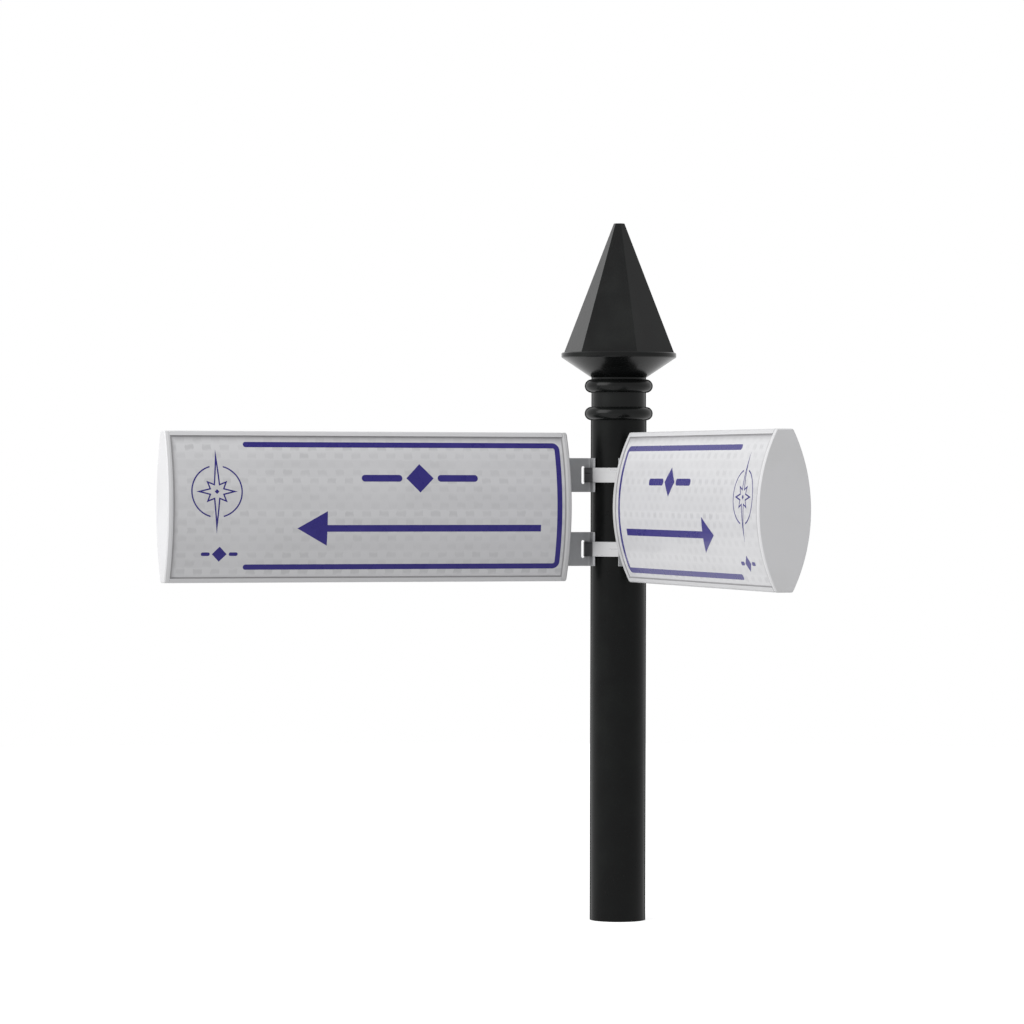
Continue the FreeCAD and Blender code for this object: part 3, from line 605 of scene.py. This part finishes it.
class STREET_SIGN_OT_finish_fittings(bpy.types.Operator):
    """Finish the brackets, straps, buckles, bolts and tie rods"""

    bl_idname = "street_sign.finish_fittings"
    bl_label = "Finish Fittings"

    def execute(self, context):
        # The flanges near the post are painted lighter than the rest of the plate, a painted highlight
        # for the light that falls on them, and the band is painted dark beside the slots, where it bends
        # away from the post: painted shade. Chalk on the zinc, and soil on the band, leave them only in
        # part metallic.
        galvanised = make_metal("galvanised_steel_plate", hex_colour("#dadbdd"), hex_colour("#cdcecf"),
                                grain=[5 * MM] * 3, roughness=0.5, metallic=0.3,
                                bend=40 * MM, beyond=hex_colour("#9fa0a2"))
        stainless = make_metal("rolled_stainless_strap", hex_colour("#bcbcbd"), hex_colour("#aeaeaf"),
                               grain=(40 * MM, 40 * MM, 3 * MM), roughness=0.32, metallic=0.6,
                               bend=41 * MM, beyond=hex_colour("#646466"))
        zinc = make_metal("bright_zinc_plate", hex_colour("#b3b5b8"), hex_colour("#8e8f90"),
                          grain=[2 * MM] * 3, roughness=0.33)
        for side in SIDES:
            dress(galvanised, side + "_upper_bracket", side + "_lower_bracket")
            dress(zinc, side + "_bracket_bolts", side + "_upper_tie_rod", side + "_lower_tie_rod")
        dress(stainless, "upper_strap", "lower_strap", "upper_buckle", "lower_buckle")
        return {"FINISHED"}


class STREET_SIGN_OT_shade_lines(bpy.types.Operator):
    """Lay a grey strip of painted shade round the film of the four faces"""

    bl_idname = "street_sign.seals"
    bl_label = "Add Shade Lines"

    def execute(self, context):
        # Left free between the painted shade strip and the rails and caps
        play = 0.1 * MM
        rail_low, rail_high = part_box("left_top_rail")
        length = rail_high.x - rail_low.x - play
        shade_line = start_sheet("shade_line", INNER_END - (rail_low.x + rail_high.x) / 2, 0, length,
                           2 * (rail_high.z - MID_HEIGHT - RAIL_LIP - play))
        leave_outline(context.scene.street_sign_sizes.shade_line_width)
        # The strip round the film is painted shade: a grey line standing for the shadow in the groove
        # under the rails and caps.
        shade_line_material = make_shade_line("painted_shade_line", hex_colour("#949395"))
        finish_print(shade_line, "shade_line", shade_line_material, SHADE_LINE_THICKNESS, moved=False)
        return {"FINISHED"}


class STREET_SIGN_OT_vinyl(bpy.types.Operator):
    """Mix the vinyl that the print is cut from"""

    bl_idname = "street_sign.vinyl"
    bl_label = "Mix Vinyl"

    def execute(self, context):
        make_vinyl("cut_vinyl", context.scene.street_sign_colours.vinyl)
        return {"FINISHED"}


class STREET_SIGN_OT_border(bpy.types.Operator):
    """Lay the vinyl border, open at the outer end, on the four faces"""

    bl_idname = "street_sign.border"
    bl_label = "Add Borders"

    def execute(self, context):
        sizes = context.scene.street_sign_sizes
        # The closed outline is drawn too long, and its outer end is cut off.
        spare = 20 * MM
        length = sizes.border_end + spare - sizes.border_start
        border = start_sheet("border", sizes.border_start + length / 2, 0, length, 2 * sizes.border_reach)
        inner = INNER_END - sizes.border_start
        select_points(border, lambda point: point.x > inner - NEAR)
        bpy.ops.mesh.bevel(offset=sizes.border_corner, segments=8, affect="VERTICES")
        bpy.ops.mesh.select_all(action="SELECT")
        leave_outline(sizes.border_width)
        end = INNER_END - sizes.border_end
        bpy.ops.mesh.bisect(plane_co=(end, 0, 0), plane_no=(1, 0, 0), clear_inner=True)
        select_points(border, lambda point: point.x < end + NEAR)
        bpy.ops.mesh.bevel(offset=ROUND_END * sizes.border_width, segments=6, affect="VERTICES")
        finish_vinyl(border, "border")
        return {"FINISHED"}


class STREET_SIGN_OT_rose(bpy.types.Operator):
    """Lay a compass rose at the outer end of the four faces"""

    bl_idname = "street_sign.rose"
    bl_label = "Add Compass Roses"

    def execute(self, context):
        sizes = context.scene.street_sign_sizes
        out, up = ROSE_PLACE
        middle = Vector((INNER_END - out, DRAWING_PLANE, MID_HEIGHT + up))

        # The ring is open where the long points pass through it.
        ring = start_disc("ring", out, up, sizes.rose_width / 2, 64)
        leave_outline(sizes.line_width)
        gap = 9 * MM
        for way in (1, -1):
            bpy.ops.mesh.select_all(action="SELECT")
            bpy.ops.mesh.bisect(plane_co=middle + Vector((way * gap, 0, 0)), plane_no=(1, 0, 0))
        select_points(ring, lambda point: abs(point.x - middle.x) < gap + HAIR)
        bpy.ops.mesh.delete(type="FACE")

        # The star's corners, by their count from the nearer long point, and how far they reach
        corners = 16
        reach = {0: 1.0, 1: 0.2, 2: 0.36, 3: 0.2, 4: 0.5}
        long_point = sizes.rose_height / 2
        star = start_disc("star", out, up, long_point, corners)
        for turn in range(corners):
            away = min(turn % 8, 8 - turn % 8)
            angle = math.radians(360 / corners) * turn
            tip = middle + long_point * Vector((math.sin(angle), 0, math.cos(angle)))
            select_points(star, lambda point: (point - tip).length < NEAR)
            bpy.ops.transform.resize(value=[reach[away]] * 3, center_override=middle)
        bpy.ops.mesh.select_all(action="SELECT")
        leave_outline(sizes.line_width)

        heart = start_disc("heart", out, up, 3.2 * MM, 4)
        finish_vinyl(join_sheets("rose", [star, ring, heart]), "compass_rose")
        return {"FINISHED"}


class STREET_SIGN_OT_arrow(bpy.types.Operator):
    """Lay a direction arrow, pointing away from the post, on the four faces"""

    bl_idname = "street_sign.arrow"
    bl_label = "Add Direction Arrows"

    def execute(self, context):
        sizes = context.scene.street_sign_sizes
        out, up = ARROW_PLACE
        head = ARROW_HEAD * sizes.arrow_height
        shaft = sizes.arrow_length - head
        start = out - sizes.arrow_length / 2
        arrow = start_sheet("arrow", start + shaft / 2, up, shaft, sizes.stroke)

        # The shaft's end widens to the head's full height, and from there runs to a point.
        neck = INNER_END - start - shaft
        axis = Vector((neck, DRAWING_PLANE, MID_HEIGHT + up))
        select_points(arrow, lambda point: point.x < neck + NEAR)
        bpy.ops.mesh.extrude_region_move(TRANSFORM_OT_translate={"value": (0, 0, 0)})
        widening = sizes.arrow_height / sizes.stroke
        bpy.ops.transform.resize(value=(1, 1, widening), center_override=axis)
        bpy.ops.mesh.extrude_region_move(TRANSFORM_OT_translate={"value": (-head, 0, 0)})
        bpy.ops.transform.resize(value=(1, 1, 0), center_override=axis)
        bpy.ops.mesh.select_all(action="SELECT")
        bpy.ops.mesh.remove_doubles(threshold=HAIR)
        bpy.ops.mesh.dissolve_limited(angle_limit=math.radians(1))
        finish_vinyl(arrow, "arrow")
        return {"FINISHED"}


class STREET_SIGN_OT_divider(bpy.types.Operator):
    """Lay a large and a small divider, a lozenge between two bars, on the four faces"""

    bl_idname = "street_sign.divider"
    bl_label = "Add Dividers"

    def execute(self, context):
        sizes = context.scene.street_sign_sizes
        for word, out, up, width, height in DIVIDERS:
            stroke = sizes.stroke * height / LARGE_LOZENGE
            lozenge = start_disc("lozenge", out, up, height / 2, 4)
            bar = (width - height) / 2 - DIVIDER_GAP * height
            bars = []
            for way in (-1, 1):
                bars.append(start_sheet("bar", out + way * (width - bar) / 2, up, bar, stroke))
                bpy.ops.mesh.bevel(offset=ROUND_END * stroke, segments=6, affect="VERTICES")
            finish_vinyl(join_sheets(word, [lozenge, *bars]), word)
        return {"FINISHED"}


class STREET_SIGN_OT_studio(bpy.types.Operator):
    """Add the pale floor, the soft light from the left and the camera"""

    bl_idname = "street_sign.studio"
    bl_label = "Set Up Studio"

    def execute(self, context):
        scene = context.scene
        scene.view_settings.view_transform = "Standard"
        white = hex_colour("#ffffff")

        deselect_all()
        bpy.ops.mesh.primitive_circle_add(vertices=128, radius=4, fill_type="NGON")
        floor = bpy.context.object
        floor.name = floor.data.name = "floor"
        material = bpy.data.materials.new("white_studio_floor")
        material.use_nodes = True
        tree = material.node_tree
        tree.nodes.clear()
        paper = add_node(tree, "ShaderNodeBsdfDiffuse", {"Color": hex_colour("#d0d0d0")})
        glow = add_node(tree, "ShaderNodeEmission", {"Color": white, "Strength": 0.72})
        lifted = add_node(tree, "ShaderNodeAddShader", {0: paper, 1: glow})
        surface = add_node(tree, "ShaderNodeMixShader", {0: background_rays(tree), 1: paper, 2: lifted})
        add_node(tree, "ShaderNodeOutputMaterial", {"Surface": surface})
        floor.data.materials.append(material)

        world = bpy.data.worlds.new("studio_world")
        scene.world = world
        world.use_nodes = True
        tree = world.node_tree
        tree.nodes.clear()
        strength = add_node(tree, "ShaderNodeMapRange", {
            "Value": background_rays(tree), "To Min": 0.6, "To Max": 1.0})
        sky = add_node(tree, "ShaderNodeBackground", {"Color": white, "Strength": strength})
        add_node(tree, "ShaderNodeOutputWorld", {"Surface": sky})

        lamp = bpy.data.lights.new("soft_light_left", "AREA")
        lamp.shape, lamp.size, lamp.energy = "SQUARE", 3.4, 135.0
        holder = bpy.data.objects.new("soft_light_left", lamp)
        scene.collection.objects.link(holder)
        holder.location = (-4.0, -0.8, 2.9)
        sight = Vector((0, 0, MID_HEIGHT)) - holder.location
        holder.rotation_euler = sight.to_track_quat("-Z", "Y").to_euler()

        camera_data = bpy.data.cameras.new("camera")
        camera = bpy.data.objects.new("camera", camera_data)
        scene.collection.objects.link(camera)
        camera_data.sensor_width = 36
        camera_data.lens = 156.28
        camera_data.clip_end = 100
        camera.location = (-1.9518, -5.7592, 0.6060)
        tilt, heading, roll = (math.radians(angle) for angle in (90 - 0.46, -17.35, 0.13))
        aim = Euler((tilt, 0, heading)).to_matrix() @ Matrix.Rotation(roll, 3, "Z")
        camera.rotation_euler = aim.to_euler()
        scene.camera = camera
        return {"FINISHED"}


class STREET_SIGN_PT_panel(bpy.types.Panel):
    bl_label = "Street Name Sign"
    bl_idname = "STREET_SIGN_PT_panel"
    bl_space_type = "VIEW_3D"
    bl_region_type = "UI"
    bl_category = "Street Sign"

    def draw(self, context):
        for group in (context.scene.street_sign_sizes, context.scene.street_sign_colours):
            for name in group.__annotations__:
                self.layout.prop(group, name)
        for operator in OPERATORS:
            self.layout.operator(operator.bl_idname)


OPERATORS = (
    STREET_SIGN_OT_finish_post,
    STREET_SIGN_OT_finish_signs,
    STREET_SIGN_OT_finish_fittings,
    STREET_SIGN_OT_shade_lines,
    STREET_SIGN_OT_vinyl,
    STREET_SIGN_OT_border,
    STREET_SIGN_OT_rose,
    STREET_SIGN_OT_arrow,
    STREET_SIGN_OT_divider,
    STREET_SIGN_OT_studio,
)
CLASSES = (StreetSignSizes, StreetSignColours, *OPERATORS, STREET_SIGN_PT_panel)


def register():
    for cls in CLASSES:
        bpy.utils.register_class(cls)
    bpy.types.Scene.street_sign_sizes = bpy.props.PointerProperty(type=StreetSignSizes)
    bpy.types.Scene.street_sign_colours = bpy.props.PointerProperty(type=StreetSignColours)


def unregister():
    del bpy.types.Scene.street_sign_colours
    del bpy.types.Scene.street_sign_sizes
    for cls in reversed(CLASSES):
        bpy.utils.unregister_class(cls)


def main():
    register()
    bpy.ops.street_sign.finish_post()
    bpy.ops.street_sign.finish_signs()
    bpy.ops.street_sign.finish_fittings()
    bpy.ops.street_sign.seals()
    bpy.ops.street_sign.vinyl()
    bpy.ops.street_sign.border()
    bpy.ops.street_sign.rose()
    bpy.ops.street_sign.arrow()
    bpy.ops.street_sign.divider()
    bpy.ops.street_sign.studio()


if __name__ == "__main__":
    main()
